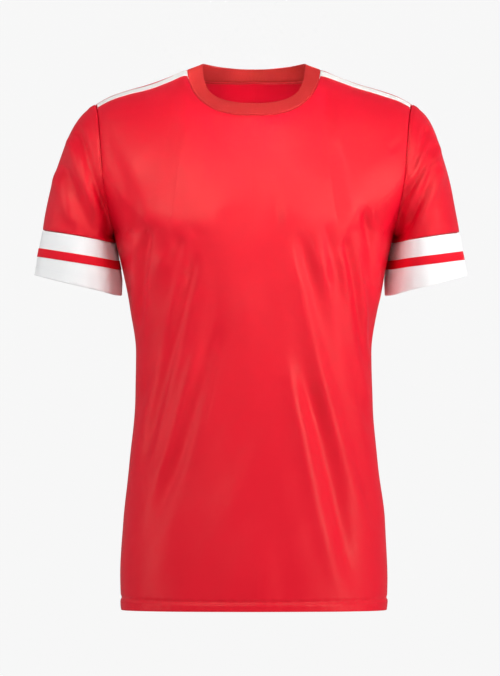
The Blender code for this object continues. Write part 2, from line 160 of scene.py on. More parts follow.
BODY = Table("height half_width front back squareness", [
    (0.000, 0.1776, 0.1290, 0.1250, 2.30),
    (0.045, 0.1788, 0.1285, 0.1255, 2.30),
    (0.124, 0.1748, 0.1245, 0.1235, 2.26),
    (0.205, 0.1653, 0.1195, 0.1160, 2.22),
    (0.287, 0.1586, 0.1165, 0.1060, 2.20),
    (0.350, 0.1576, 0.1175, 0.1030, 2.20),
    (0.408, 0.1653, 0.1235, 0.1070, 2.24),
    (0.455, 0.1743, 0.1295, 0.1150, 2.28),
    (0.512, 0.1878, 0.1335, 0.1230, 2.32),
    (0.545, 0.1950, 0.1335, 0.1250, 2.34),
    (0.566, 0.1987, 0.1330, 0.1255, 2.35),
    (0.590, 0.2020, 0.1320, 0.1255, 2.35),
])
FRONT_RIDGE = Table("column curve rise", [(0.0, 1.41, 2.2), (0.5, 1.20, 2.2), (1.0, 1.42, 2.2)])
BACK_RIDGE = Table("column curve rise", [(0.0, 1.20, 1.7), (0.5, 1.50, 2.2), (1.0, 1.65, 2.2)])
SHOULDER = [
    (0.110, 0.7225),
    (0.141, 0.7112),
    (0.172, 0.7022),
    (0.192, 0.6952),
    (0.214, 0.6835),
]
FRONT_HEIGHT = Table("out height", [(0.000, 0.7345), (0.020, 0.7344), (0.091, 0.7300)] + SHOULDER)
BACK_HEIGHT = Table("out height", [
    (0.000, 0.7742),
    (0.034, 0.7620),
    (0.058, 0.7485),
    (0.075, 0.7378),
    (0.0895, 0.7306),
] + SHOULDER)
SLEEVE = Table("share right_x right_z left_x left_z inner_x inner_z depth", [
    (0.00, 0.2135, 0.6835, 0.2135, 0.6835, 0.1911, 0.5120, 0.0660),
    (0.10, 0.2305, 0.6700, 0.2295, 0.6700, 0.1914, 0.5100, 0.0690),
    (0.20, 0.2450, 0.6485, 0.2420, 0.6480, 0.1916, 0.5085, 0.0705),
    (0.34, 0.2598, 0.6100, 0.2545, 0.6095, 0.1914, 0.5065, 0.0715),
    (0.50, 0.2725, 0.5700, 0.2655, 0.5690, 0.1908, 0.5050, 0.0715),
    (0.66, 0.2812, 0.5330, 0.2725, 0.5305, 0.1900, 0.5030, 0.0710),
    (0.74, 0.2843, 0.5150, 0.2755, 0.5120, 0.1888, 0.4985, 0.0705),
    (0.84, 0.2890, 0.4910, 0.2800, 0.4865, 0.1852, 0.4740, 0.0675),
    (0.89, 0.2910, 0.4795, 0.2825, 0.4750, 0.1826, 0.4620, 0.0655),
    (0.94, 0.2925, 0.4680, 0.2845, 0.4655, 0.1806, 0.4460, 0.0635),
    (1.00, 0.2947, 0.4545, 0.2870, 0.4535, 0.1812, 0.4270, 0.0605),
])
COLLAR_EDGE = Table("angle height", [
    (0.0, 0.6830),
    (8.0, 0.6832),
    (30.0, 0.6870),
    (55.0, 0.6980),
    (75.0, 0.7175),
    (90.0, 0.7380),
    (110.0, 0.7405),
    (145.0, 0.7380),
    (172.0, 0.7361),
    (180.0, 0.7360),
])

TAPE_LOW = Table("share drop", [(0.0, 0.0088), (0.3, 0.0078), (0.7, 0.0070), (1.0, 0.0064)])

# Folds seen square to the panel: x and height at the top, the middle and the foot, then how far
# the fold stands out (+) or in (-), and its half width
Fold = namedtuple("Fold", "x1 z1 x2 z2 x3 z3 rise spread")
FRONT_FOLDS = [
    # the wearer's right side, from the side seam inwards
    Fold(-0.157, 0.500, -0.160, 0.440, -0.156, 0.385, 0.0022, 0.007),
    Fold(-0.139, 0.510, -0.148, 0.440, -0.154, 0.375, -0.0040, 0.006),
    Fold(-0.121, 0.478, -0.139, 0.410, -0.154, 0.300, 0.0034, 0.007),
    Fold(-0.098, 0.502, -0.127, 0.374, -0.152, 0.275, -0.0042, 0.007),
    Fold(-0.095, 0.458, -0.120, 0.362, -0.149, 0.245, 0.0038, 0.007),
    Fold(-0.078, 0.476, -0.112, 0.338, -0.149, 0.190, -0.0048, 0.007),
    Fold(-0.094, 0.355, -0.112, 0.289, -0.134, 0.205, 0.0014, 0.006),
    Fold(-0.083, 0.352, -0.103, 0.289, -0.126, 0.205, -0.0014, 0.006),
    Fold(-0.070, 0.370, -0.100, 0.265, -0.130, 0.170, 0.0034, 0.009),
    Fold(-0.046, 0.430, -0.084, 0.265, -0.140, 0.110, -0.0048, 0.011),
    Fold(-0.054, 0.300, -0.084, 0.182, -0.118, 0.105, 0.0034, 0.014),
    # the middle
    Fold(-0.016, 0.450, 0.000, 0.280, 0.009, 0.020, 0.0062, 0.015),
    Fold(0.012, 0.450, 0.028, 0.270, 0.040, 0.020, -0.0062, 0.015),
    # the wearer's left side, outwards to the side seam
    Fold(0.043, 0.350, 0.074, 0.192, 0.112, 0.035, 0.0046, 0.013),
    Fold(0.060, 0.345, 0.100, 0.192, 0.134, 0.035, -0.0056, 0.012),
    Fold(0.054, 0.470, 0.096, 0.290, 0.154, 0.105, 0.0060, 0.012),
    Fold(0.062, 0.500, 0.116, 0.289, 0.163, 0.115, -0.0080, 0.010),
    Fold(0.088, 0.476, 0.113, 0.362, 0.150, 0.220, 0.0060, 0.009),
    Fold(0.097, 0.512, 0.126, 0.362, 0.151, 0.245, -0.0062, 0.008),
    Fold(0.115, 0.480, 0.131, 0.386, 0.151, 0.275, 0.0048, 0.007),
    Fold(0.122, 0.500, 0.137, 0.410, 0.150, 0.330, -0.0050, 0.006),
    Fold(0.135, 0.484, 0.145, 0.410, 0.153, 0.330, 0.0040, 0.006),
    Fold(0.148, 0.538, 0.157, 0.450, 0.155, 0.345, -0.0070, 0.007),
    Fold(0.165, 0.520, 0.165, 0.465, 0.163, 0.400, 0.0028, 0.008),
    # the fullness of the chest
    Fold(-0.150, 0.537, -0.105, 0.522, -0.035, 0.534, 0.0030, 0.020),
    Fold(0.035, 0.537, 0.085, 0.527, 0.150, 0.540, 0.0030, 0.020),
    # drags below the armholes
    Fold(-0.206, 0.650, -0.178, 0.590, -0.152, 0.510, -0.0034, 0.012),
    Fold(0.208, 0.640, 0.195, 0.630, 0.178, 0.620, -0.0020, 0.006),
]
BACK_FOLDS = [
    # the wearer's right side, from the side seam inwards
    Fold(-0.158, 0.520, -0.160, 0.440, -0.156, 0.370, -0.0040, 0.008),
    Fold(-0.132, 0.500, -0.144, 0.420, -0.154, 0.310, 0.0038, 0.009),
    Fold(-0.118, 0.488, -0.131, 0.395, -0.151, 0.280, -0.0044, 0.009),
    Fold(-0.101, 0.480, -0.120, 0.370, -0.149, 0.230, 0.0046, 0.010),
    Fold(-0.084, 0.488, -0.107, 0.340, -0.146, 0.170, -0.0060, 0.011),
    Fold(-0.062, 0.450, -0.086, 0.300, -0.133, 0.110, 0.0052, 0.014),
    Fold(-0.036, 0.440, -0.058, 0.270, -0.098, 0.060, -0.0054, 0.015),
    # the hollow of the back
    Fold(-0.010, 0.460, -0.014, 0.290, -0.026, 0.040, 0.0052, 0.017),
    Fold(0.018, 0.430, 0.020, 0.280, 0.016, 0.050, -0.0056, 0.016),
    Fold(0.044, 0.470, 0.052, 0.300, 0.066, 0.030, 0.0054, 0.016),
    # the wearer's left side, outwards to the side seam
    Fold(0.070, 0.490, 0.092, 0.320, 0.128, 0.120, -0.0062, 0.012),
    Fold(0.090, 0.484, 0.114, 0.350, 0.147, 0.200, 0.0050, 0.010),
    Fold(0.106, 0.494, 0.126, 0.380, 0.151, 0.255, -0.0046, 0.009),
    Fold(0.124, 0.488, 0.138, 0.410, 0.153, 0.320, 0.0036, 0.008),
    Fold(0.146, 0.525, 0.152, 0.440, 0.154, 0.350, -0.0042, 0.008),
    # drags from the shoulder blades to the armholes
    Fold(-0.172, 0.600, -0.120, 0.588, -0.060, 0.566, -0.0034, 0.014),
    Fold(0.176, 0.612, 0.128, 0.592, 0.066, 0.574, -0.0034, 0.015),
    Fold(-0.190, 0.640, -0.172, 0.585, -0.150, 0.515, -0.0034, 0.012),
    Fold(0.192, 0.648, 0.176, 0.590, 0.151, 0.512, -0.0036, 0.012),
]
SLEEVE_FRONT_FOLDS = {
    "right": [
        Fold(0.238, 0.652, 0.214, 0.588, 0.194, 0.526, -0.0056, 0.0065),
        Fold(0.249, 0.640, 0.227, 0.580, 0.203, 0.520, 0.0040, 0.0070),
        Fold(0.257, 0.606, 0.236, 0.556, 0.212, 0.508, -0.0046, 0.0070),
        Fold(0.270, 0.596, 0.252, 0.548, 0.230, 0.506, 0.0030, 0.0090),
    ],
    "left": [
        Fold(0.233, 0.652, 0.222, 0.622, 0.208, 0.590, -0.0044, 0.0050),
        Fold(0.243, 0.630, 0.222, 0.590, 0.198, 0.552, -0.0048, 0.0050),
        Fold(0.250, 0.632, 0.234, 0.596, 0.211, 0.556, 0.0034, 0.0060),
        Fold(0.241, 0.606, 0.222, 0.554, 0.199, 0.506, -0.0050, 0.0055),
        Fold(0.252, 0.600, 0.235, 0.556, 0.212, 0.512, 0.0034, 0.0070),
    ],
}
SLEEVE_BACK_FOLDS = {
    "right": [
        Fold(0.236, 0.645, 0.228, 0.590, 0.212, 0.540, -0.0035, 0.010),
        Fold(0.262, 0.560, 0.240, 0.540, 0.214, 0.512, -0.0030, 0.010),
    ],
    "left": [
        Fold(0.232, 0.640, 0.220, 0.590, 0.208, 0.548, -0.0035, 0.010),
        Fold(0.256, 0.590, 0.236, 0.556, 0.210, 0.515, -0.0030, 0.011),
    ],
}

Wave = namedtuple("Wave", "rise across up start")
RIPPLES = [
    Wave(0.00045, 61, 17, 1.3),
    Wave(0.00035, -28, 43, 0.4),
    Wave(0.00022, 118, -63, 2.1),
]


def power(value, exponent):
    """The value's size raised to the exponent, with the value's own sign."""
    return np.sign(value) * np.abs(value) ** exponent


def smooth_step(value):
    """0 up to a value of 0, 1 from a value of 1, and a smooth rise between them."""
    value = np.clip(value, 0.0, 1.0)
    return value * value * (3 - 2 * value)


def blend(start, end, share):
    return start + (end - start) * share


def place_of(x, y, z):
    """Places from their three parts, each of which may be one number for all."""
    return np.stack(np.broadcast_arrays(x, y, z), axis=-1)


class Bump(namedtuple("Bump", "rise width middle", defaults=[0.0])):
    """A smooth ridge (+) or groove (-) in the cloth: its height, its half width and its middle."""

    def at(self, place):
        return self.rise * np.exp(-((place - self.middle) / self.width) ** 2)


# How the cloth lies by its seams, by the distance from the seam
SIDE_SEAM = Bump(-0.0005, 0.0030)
TOP_SEAM = Bump(-0.0004, 0.0030)
ARMHOLE_SEAM = Bump(0.0009, 0.004, 0.006)
CUFF_SEAM = Bump(-0.0008, 0.0016, CUFF_TOP * SLEEVE_LENGTH)

# The turned hem, by the height: its stitched groove, the puckers beside the groove, how far its
# lower edge draws in, the share of the panel beside a side seam that does so, and its fullness
HEM_GROOVE = Bump(-0.0011, 0.0026, HEM_DEPTH + 0.006)
HEM_PUCKERS = Bump(0.00035, 0.007, HEM_DEPTH + 0.004)
HEM_CORNER = Bump(-0.0016, 0.006)
BESIDE_SEAM = Bump(1.0, 0.06)
HEM_FULL = 0.0009
HEM_FULL_TOP = 0.022
HEM_FULL_FADE = 0.006
PUCKERS = 402           # radians of pucker in a metre, and how unevenly they come
PUCKERS_UNEVEN = 1.9
PUCKERS_UNEVEN_ALONG = 53


def fold_relief(folds, x, height):
    """How far the folds lift the cloth at places seen square to the panel."""
    lift = np.zeros(np.shape(x))
    place = np.stack([x, height], axis=-1)
    for index, fold in enumerate(folds):
        start = np.array([fold.x1, fold.z1])
        end = np.array([fold.x3, fold.z3])
        bend = np.array([fold.x2, fold.z2]) * 2 - (start + end) / 2
        run = end - start
        along = (place - start) @ run / (run @ run)
        t = np.clip(along, 0, 1)[..., None]
        path = start * (1 - t) ** 2 + bend * 2 * t * (1 - t) + end * t ** 2
        away = np.linalg.norm(place - path, axis=-1)
        top_run = TOP_RUN if fold.z1 > CREST_TOPS else FOOT_RUN
        fade = smooth_step((along + FOLD_OVERRUN) / top_run)
        fade *= smooth_step((1 + FOLD_OVERRUN - along) / FOOT_RUN)
        uneven = 1 + UNEVEN * np.sin(UNEVEN_ALONG * along + UNEVEN_NEXT * index)
        lift += uneven * fade * Bump(fold.rise, fold.spread).at(away)
    return lift


def ripple(x, z):
    """The slight unevenness of cloth that hangs free."""
    return sum(
        wave.rise * np.sin(wave.across * x + wave.up * z + wave.start) for wave in RIPPLES
    )


def outward(surface, u, v, low=(-math.inf, 0), high=(math.inf, 1)):
    """The normals of a surface, from places a little way along it both ways. low and high are
    the limits of its columns and rows."""
    across = surface(np.minimum(u + NORMAL_STEP, high[0]), v)
    across = across - surface(np.maximum(u - NORMAL_STEP, low[0]), v)
    up = surface(u, np.minimum(v + NORMAL_STEP, high[1]))
    up = up - surface(u, np.maximum(v - NORMAL_STEP, low[1]))
    normal = np.cross(across, up)
    return normal / np.linalg.norm(normal, axis=-1, keepdims=True)


# ---- Body panels ----

Panel = namedtuple("Panel", "centre neck_reach hem_rise ridge top_height folds")
PANELS = {
    -1: Panel(CHEST_CENTRE, NECK_FRONT, HEM_FRONT, FRONT_RIDGE, FRONT_HEIGHT, FRONT_FOLDS),
    1: Panel(BLADE_CENTRE, NECK_BACK, 0.0, BACK_RIDGE, BACK_HEIGHT, BACK_FOLDS),
}


def fullest_height(side, u):
    """Height of a panel's fullest part, where the body's sections end."""
    return blend(PANELS[side].centre, CHEST_EDGE, u * u)


def armhole_reach(height):
    """How far the armhole's edge stands to the front or back of the body's middle."""
    below = np.clip((CHEST_EDGE - height) / (CHEST_EDGE - ARMHOLE_BOTTOM), 0, 1)
    return ARMHOLE_DEPTH * np.sqrt(1 - below ** 2)


def body_section(side, u, height):
    """A place on the body's section at a height, with the section's width, depth and power."""
    row = BODY.at(height)
    depth = row.front if side < 0 else row.back
    n = row.squareness
    edge_angle = np.arccos((armhole_reach(height) / depth) ** (n / 2))
    full_width = row.half_width / np.sin(edge_angle) ** (2 / n)
    angle = u * edge_angle
    x = full_width * power(np.sin(angle), 2 / n)
    y = depth * np.clip(np.cos(angle), 0, 1) ** (2 / n)
    return x, side * y, full_width, depth, n


def panel_base(side, u, v):
    """A body panel without folds. u runs from side to side (-1 to 1). v runs from the hem (0)
    through the panel's fullest part (1) to the shoulder and neck seams (2)."""
    u, v = np.broadcast_arrays(np.asarray(u, float), np.asarray(v, float))
    panel = PANELS[side]
    fullest = fullest_height(side, u)

    # up to the fullest part: the body's sections
    low = np.minimum(v, 1)
    x, y = body_section(side, u, fullest * low)[:2]
    hem = blend(HEM_SIDE, panel.hem_rise, np.cos(np.pi / 2 * u))
    below = place_of(x, y + side * PANEL_GAP / 2, fullest * low + hem * (1 - low) ** HEM_POWER)

    # above it: arcs from there over to the neck and shoulder seams
    start_x, _, full_width, depth, n = body_section(side, u, fullest)
    out = np.abs(u)
    on_neck = out < NECK_SHARE
    turn = np.pi / 2 * np.minimum(out / NECK_SHARE, 1)
    neck_x = NECK_HALF_WIDTH * np.sin(turn) ** (2 / NECK_SQUARENESS)
    neck_y = panel.neck_reach * np.clip(np.cos(turn), 0, 1) ** (2 / NECK_SQUARENESS)
    share = (out - NECK_SHARE) / (1 - NECK_SHARE)
    top_x = np.where(on_neck, neck_x, blend(NECK_HALF_WIDTH, SHOULDER_POINT, share)) * np.sign(u)
    top_y = np.where(on_neck, neck_y, 0.0)

    def depth_at(place):
        return depth * np.clip(1 - np.abs(place / full_width) ** n, 0, 1) ** (1 / n)

    ridge = panel.ridge.at(out)
    over = np.maximum(v - 1, 0)
    x = blend(start_x, top_x, over)
    top_angle = np.arccos(np.minimum(1, top_y / depth_at(top_x)) ** (ridge.curve / 2))
    angle = top_angle * over
    y = depth_at(x) * np.clip(np.cos(angle), 0, 1) ** (2 / ridge.curve)
    top_height = panel.top_height.at(np.abs(x)).height
    height = blend(fullest, top_height, np.clip(np.sin(angle), 0, 1) ** (2 / ridge.rise))
    above = place_of(x, side * (y + PANEL_GAP / 2), height)
    return np.where((v <= 1)[..., None], below, above)


def level_row(side, u, s):
    """The panel's row for an even row s. Rows near the hem stay level from side to side."""
    level = PANELS[side].centre / fullest_height(side, u)
    level = blend(level, 1, smooth_step((s - LEVEL_END) / LEVEL_RUN))
    return np.where(s < 1, s * level, s)


def hem_relief(u, z, along):
    """The turned hem: slightly fuller than the cloth above it, with the stitches pulled in, and
    drawn in at its lower edge beside the side seams."""
    full = HEM_FULL * smooth_step((HEM_FULL_TOP - z) / HEM_FULL_FADE)
    pucker = np.sin(PUCKERS * along + PUCKERS_UNEVEN * np.sin(PUCKERS_UNEVEN_ALONG * along))
    corner = HEM_CORNER.at(z) * BESIDE_SEAM.at(1 - np.abs(u))
    return full + HEM_GROOVE.at(z) + HEM_PUCKERS.at(z) * pucker + corner


def panel_cloth(side, u, s, lift):
    """Places and normals on a body panel's cloth. lift is from the form's inner face."""
    v = level_row(side, u, s)
    base = panel_base(side, u, v)
    normal = outward(partial(panel_base, side), u, v, (-1, 0), (1, 2)) * -side
    x, z = base[..., 0], base[..., 2]
    from_side = 1 - np.abs(u)
    from_top = 2 - v
    folded = smooth_step(from_side / SIDE_FADE) * smooth_step(from_top / TOP_FADE)
    rippled = smooth_step(from_side / RIPPLE_SIDE_FADE) * smooth_step(from_top / RIPPLE_TOP_FADE)
    relief = fold_relief(PANELS[side].folds, x, z) * folded + ripple(x, z) * rippled
    relief = relief + SIDE_SEAM.at(from_side * HALF_PANEL)
    relief = relief + TOP_SEAM.at(np.maximum(from_top, 0) * UPPER_PANEL)
    relief = relief + hem_relief(u, z, x)
    return base + normal * (relief + lift)[..., None], normal


# ---- Sleeves ----

def armhole_point(side, hand, share):
    """The armhole's edge on a body panel, from the shoulder (0) to the underarm (1)."""
    drop = np.sin(np.pi * (np.clip(share, 0.5, 1) - 0.5))
    lower = blend(CHEST_EDGE, ARMHOLE_BOTTOM, 1 - np.sqrt(np.clip(1 - drop ** 2, 0, 1)))
    v = np.where(share < 0.5, 2 - 2 * share, lower / CHEST_EDGE)
    return panel_base(side, np.full(np.shape(v), float(hand)), v)


def sleeve_oval(hand, angle, share):
    """A plain oval section. angle runs from the outer edge (0) by the front to the underarm."""
    row = SLEEVE.at(share)
    outer_x, outer_z = (row.left_x, row.left_z) if hand > 0 else (row.right_x, row.right_z)
    cosine = np.cos(angle)
    x = (outer_x + row.inner_x) / 2 + (outer_x - row.inner_x) / 2 * cosine
    z = (outer_z + row.inner_z) / 2 + (outer_z - row.inner_z) / 2 * cosine
    wrap = WRAP * smooth_step((share - WRAP_START) / (WRAP_END - WRAP_START))
    x = x - np.where(cosine < 0, wrap * np.sin(2 * angle) * cosine ** 4, 0)
    return place_of(x * hand, -row.depth * np.sin(angle), z)


def armhole_ring(hand, angle):
    """The armhole by the same angle as the sleeve's sections, a step clear of the panels."""
    in_front = angle <= np.pi
    share = np.where(in_front, angle / np.pi, 2 - angle / np.pi)
    point = np.where(
        in_front[..., None], armhole_point(-1, hand, share), armhole_point(1, hand, share)
    )
    low = smooth_step((share - UNDERARM_START) / (1 - UNDERARM_START))
    step = blend(ARMHOLE_STEP, UNDERARM_STEP, low)
    return point + place_of(hand * step, 0, 0)


def sleeve_base(hand, angle, share):
    """A sleeve or cuff without folds, from the armhole's shape to its own ovals."""
    angle, share = np.broadcast_arrays(angle % (2 * np.pi), np.asarray(share, float))
    point = sleeve_oval(hand, angle, share)
    first = armhole_ring(hand, angle) - sleeve_oval(hand, angle, np.zeros(np.shape(angle)))
    return point + first * (1 - smooth_step(share / BLEND))[..., None]


def sleeve_cloth(hand, angle, share, lift):
    """Places and normals on a sleeve or cuff. lift is from the form's inner face."""
    base = sleeve_base(hand, angle, share)
    normal = outward(partial(sleeve_base, hand), angle, share) * hand
    x, y, z = np.abs(base[..., 0]), base[..., 1], base[..., 2]
    name = HANDS[hand]
    folds = np.where(
        y < 0,
        fold_relief(SLEEVE_FRONT_FOLDS[name], x, z),
        fold_relief(SLEEVE_BACK_FOLDS[name], x, z),
    )
    folded = smooth_step(share / CAP_FADE) * smooth_step((CUFF_TOP - share) / CUFF_FADE)
    rippled = SLEEVE_RIPPLE * smooth_step(share / SLEEVE_RIPPLE_FADE)
    relief = folds * folded * smooth_step(np.abs(y) / EDGE_FADE)
    relief = relief + ripple(base[..., 0] + y, z) * rippled
    along = share * SLEEVE_LENGTH
    relief = relief + ARMHOLE_SEAM.at(along) + CUFF_SEAM.at(along)
    return base + normal * (relief + lift)[..., None], normal


# ---- Collar ----

def neck_seam(angle):
    """The neckline on the panels, by the angle in degrees from the centre front."""
    turn = (angle + 180) % 360 - 180
    front = np.abs(turn) <= 90
    share = np.where(front, np.abs(turn) / 90, (180 - np.abs(turn)) / 90)
    u = np.copysign(NECK_SHARE * share, turn)
    top = np.full(np.shape(u), 2.0)
    return np.where(front[..., None], panel_base(-1, u, top), panel_base(1, u, top))


def collar_base(angle, rise):
    """The collar from its seam (0) to its free edge (1), by the same angle."""
    angle, rise = np.broadcast_arrays(angle, rise)
    turn = (angle + 180) % 360 - 180
    radians = np.radians(turn)
    exponent = 2 / COLLAR_SQUARENESS
    reach = np.where(np.abs(turn) <= 90, COLLAR_FRONT, COLLAR_BACK)
    edge = place_of(
        COLLAR_HALF_WIDTH * power(np.sin(radians), exponent),
        -reach * power(np.cos(radians), exponent),
        COLLAR_EDGE.at(np.abs(turn)).height,
    )
    return blend(neck_seam(angle), edge, rise[..., None])


# ---- Cloth and stitches ----

def drop_to_origin(points):
    return points - np.array([0, 0, ORIGIN_HEIGHT])


def lengths_along(points):
    """The length from a line's first place to each of its places."""
    steps = np.linalg.norm(np.diff(points, axis=0), axis=1)
    return np.concatenate([[0], np.cumsum(steps)])


def finish_piece(name, shape, finish):
    """Turn a bmesh into a smooth-shaded piece in the scene."""
    mesh = bpy.data.meshes.new(name)
    shape.to_mesh(mesh)
    shape.free()
    mesh.shade_smooth()
    mesh.materials.append(finish)
    piece = bpy.data.objects.new(name, mesh)
    bpy.context.scene.collection.objects.link(piece)
    return piece


def lay_cloth(name, columns, rows, place, finish, thick=THICK, tube=False, turned=False):
    """A sheet of cloth laid on a form: a grid whose points place() puts, for its columns and for
    rows of (share, lift). turned lays the columns the other way, so that the cloth faces out.
    Its UV map is in metres along the cloth."""
    columns = np.asarray(columns[::-1] if turned else columns, float)
    rows = np.asarray(rows, float)
    across, share = np.meshgrid(columns, rows[:, 0])
    lift = np.broadcast_to(rows[:, 1:2], share.shape)
    points = drop_to_origin(place(across, share, lift)[0])
    girth = np.linalg.norm(np.diff(points, axis=1), axis=2).sum(axis=1).max()
    steps = np.linalg.norm(np.diff(points, axis=0), axis=2).mean(axis=1)
    along = np.concatenate([[0], np.cumsum(steps)])
    cloth = bmesh.new()
    bmesh.ops.create_grid(
        cloth, x_segments=len(columns) - 1, y_segments=len(rows) - 1, size=1
    )
    cloth.verts.ensure_lookup_table()
    for vert, point in zip(cloth.verts, points.reshape(-1, 3)):
        vert.co = point
    uv = cloth.loops.layers.uv.new("cloth")
    count = len(columns)
    for face in cloth.faces:
        for loop in face.loops:
            row, column = divmod(loop.vert.index, count)
            loop[uv].uv = (column / (count - 1) * girth, along[row])
    if tube:
        bmesh.ops.remove_doubles(cloth, verts=cloth.verts, dist=1e-6)
    piece = finish_piece(name, cloth, finish)
    if thick:
        wall = piece.modifiers.new("cloth", "SOLIDIFY")
        wall.thickness = thick
        wall.offset = -1
    return piece


STITCH_LENGTH = 0.0024
STITCH_PITCH = 0.0032
THREAD = 0.00042
THREAD_PROUD = 0.2      # share of the thread's width by which its middle stands off the cloth


def stitch_line(place, columns, share):
    """Places and normals on the outer face along one row of a cloth."""
    return place(columns, np.full(columns.shape, share), np.full(columns.shape, FACE))


def sew(name, lines, finish):
    """Rows of stitches along lines. Each line is places and normals along the cloth's face."""
    thread = bmesh.new()
    for points, normals in lines:
        points = drop_to_origin(points)
        along = lengths_along(points)
        for i in range(int(along[-1] / STITCH_PITCH)):
            ends = (i + 0.5) * STITCH_PITCH + np.array([-0.5, 0, 0.5]) * STITCH_LENGTH
            spots = np.stack([np.interp(ends, along, points[:, k]) for k in range(3)], axis=-1)
            normal = Vector([np.interp(ends[1], along, normals[:, k]) for k in range(3)])
            run = Vector(spots[2] - spots[0]).normalized()
            side = normal.cross(run).normalized()
            up = run.cross(side)
            turn = Matrix((run, side, up)).transposed().to_4x4()
            size = Matrix.Diagonal((STITCH_LENGTH / 2, THREAD / 2, THREAD / 2, 1))
            spot = Matrix.Translation(Vector(spots[1]) + up * THREAD * THREAD_PROUD)
            bmesh.ops.create_uvsphere(
                thread, u_segments=6, v_segments=4, radius=1, matrix=spot @ turn @ size
            )
    return finish_piece(name, thread, finish)


def spread(start, end, count):
    """Even places from start up to, but not with, end."""
    return [blend(start, end, i / count) for i in range(count)]


def turned_edge(edge, toward, count=5):
    """Rows round a fold at an edge: from the turned-in layer's lift round to the outer face.
    toward is how far the fold's start lies from the edge."""
    radius = (FACE - INNER) / 2
    middle = (FACE + INNER) / 2
    angles = [math.pi * i / count for i in range(count + 1)]
    return [
        (edge + toward * (1 - math.sin(angle)), middle - radius * math.cos(angle))
        for angle in angles
    ]


# ---- Finishes ----

class Strand:
    """A socket in a finish's nodes. Sums with it add Math nodes."""

    def __init__(self, finish, output):
        self.finish = finish
        self.output = output

    def sum(self, operation, *values):
        return self.finish.node(
            "ShaderNodeMath", {"operation": operation}, dict(enumerate(values))
        )

    def __add__(self, other):
        return self.sum("ADD", self, other)

    def __mul__(self, other):
        return self.sum("MULTIPLY", self, other)

    def sine(self):
        return self.sum("SINE", self)

    def waves(self, pitch):
        """A sine wave that repeats each pitch, in metres."""
        return (self * (2 * math.pi / pitch)).sine()


class Finish:
    """A material built from nodes on its Principled shader."""

    def __init__(self, name, **constants):
        self.material = bpy.data.materials.new(name)
        self.material.use_nodes = True
        self.nodes = self.material.node_tree.nodes
        self.shader = self.nodes["Principled BSDF"]
        self.feed(**constants)

    def node(self, kind, settings, sockets, output=0):
        made = self.nodes.new(kind)
        for key, value in settings.items():
            setattr(made, key, value)
        for key, value in sockets.items():
            self.plug(made.inputs[key], value)
        return Strand(self, made.outputs[output])

    def plug(self, socket, value):
        if isinstance(value, Strand):
            self.material.node_tree.links.new(value.output, socket)
        else:
            socket.default_value = value

    def feed(self, **sockets):
        for socket, value in sockets.items():
            self.plug(self.shader.inputs[socket.replace("_", " ")], value)

    def mixed(self, share, low, high):
        return self.node(
            "ShaderNodeMix", {"data_type": "RGBA"},
            {0: share, 6: (*low, 1), 7: (*high, 1)}, output=2,
        )

    def noise(self, vector, scale, detail=2.0):
        return self.node(
            "ShaderNodeTexNoise", {}, {"Vector": vector, "Scale": scale, "Detail": detail}
        )

    def cloth_map(self):
        """The cloth's UV map, and its metres across and along the cloth."""
        uv = self.node("ShaderNodeUVMap", {"uv_map": "cloth"}, {})
        across = self.node("ShaderNodeSeparateXYZ", {}, {0: uv}, output=0)
        along = self.node("ShaderNodeSeparateXYZ", {}, {0: uv}, output=1)
        return uv, across, along

    def object_place(self):
        return self.node("ShaderNodeTexCoord", {}, {}, output=3)

    def raised(self, height, distance, strength=0.5):
        return self.node(
            "ShaderNodeBump", {},
            {"Strength": strength, "Distance": distance, "Height": height},
        )


WALE = 0.0011                   # width of a column of knitted loops, and height of a row of them
COURSE = 0.0009
RIB_LOOP = (0.0009, 0.0010)     # the same for the rib, and for the tape's weave
WEAVE = (0.0008, 0.0007)
YARN_STREAKS = (900, 60, 1)     # streaks of yarn in a metre across and along the cloth


def knit(name, low, high, roughness, sheen, tint, gloss):
    """Interlock: fine columns of loops, with the faint unevenness of knitted yarn."""
    finish = Finish(
        name, Sheen_Weight=sheen, Sheen_Roughness=0.35, Sheen_Tint=(*tint, 1),
        Specular_IOR_Level=gloss, Specular_Tint=(*tint, 1),
    )
    uv, across, along = finish.cloth_map()
    wales = across.waves(WALE)
    courses = (along * (2 * math.pi / COURSE) + wales * 1.2).sine()
    loops = wales * 0.5 + courses * 0.5
    streaks = finish.noise(
        finish.node("ShaderNodeMapping", {}, {"Vector": uv, "Scale": YARN_STREAKS}), 1.0
    )
    clouds = finish.noise(finish.object_place(), 14.0, 3.0)
    tone = clouds * 0.55 + streaks * 0.3 + loops * 0.06 + 0.05
    finish.feed(
        Base_Color=finish.mixed(tone, low, high),
        Roughness=clouds * 0.10 + streaks * 0.06 + (roughness - 0.08),
        Normal=finish.raised(loops, 0.00016),
    )
    return finish.material


def rib_knit(name, low, high):
    """The collar's rib: the raised ribs are in its mesh, and this adds the loops."""
    finish = Finish(
        name, Sheen_Weight=0.05, Sheen_Roughness=0.5, Sheen_Tint=(1, 0.4, 0.35, 1),
        Specular_IOR_Level=0.3,
    )
    _, across, along = finish.cloth_map()
    loops = along.waves(RIB_LOOP[1]) + across.waves(RIB_LOOP[0])
    clouds = finish.noise(finish.object_place(), 22.0, 3.0)
    finish.feed(
        Base_Color=finish.mixed(clouds * 0.8 + loops * 0.04 + 0.1, low, high),
        Roughness=clouds * 0.1 + 0.6,
        Normal=finish.raised(loops, 0.00014),
    )
    return finish.material


def woven(name, low, high):
    """Plain woven tape, with its weft across it."""
    finish = Finish(name, Sheen_Weight=0.1, Sheen_Roughness=0.4, Specular_IOR_Level=0.4)
    _, across, along = finish.cloth_map()
    weave = across.waves(WEAVE[0]) * along.waves(WEAVE[1])
    finish.feed(
        Base_Color=finish.mixed(weave * 0.25 + 0.6, low, high),
        Roughness=weave * 0.04 + 0.55,
        Normal=finish.raised(weave, 0.00018, 0.6),
    )
    return finish.material


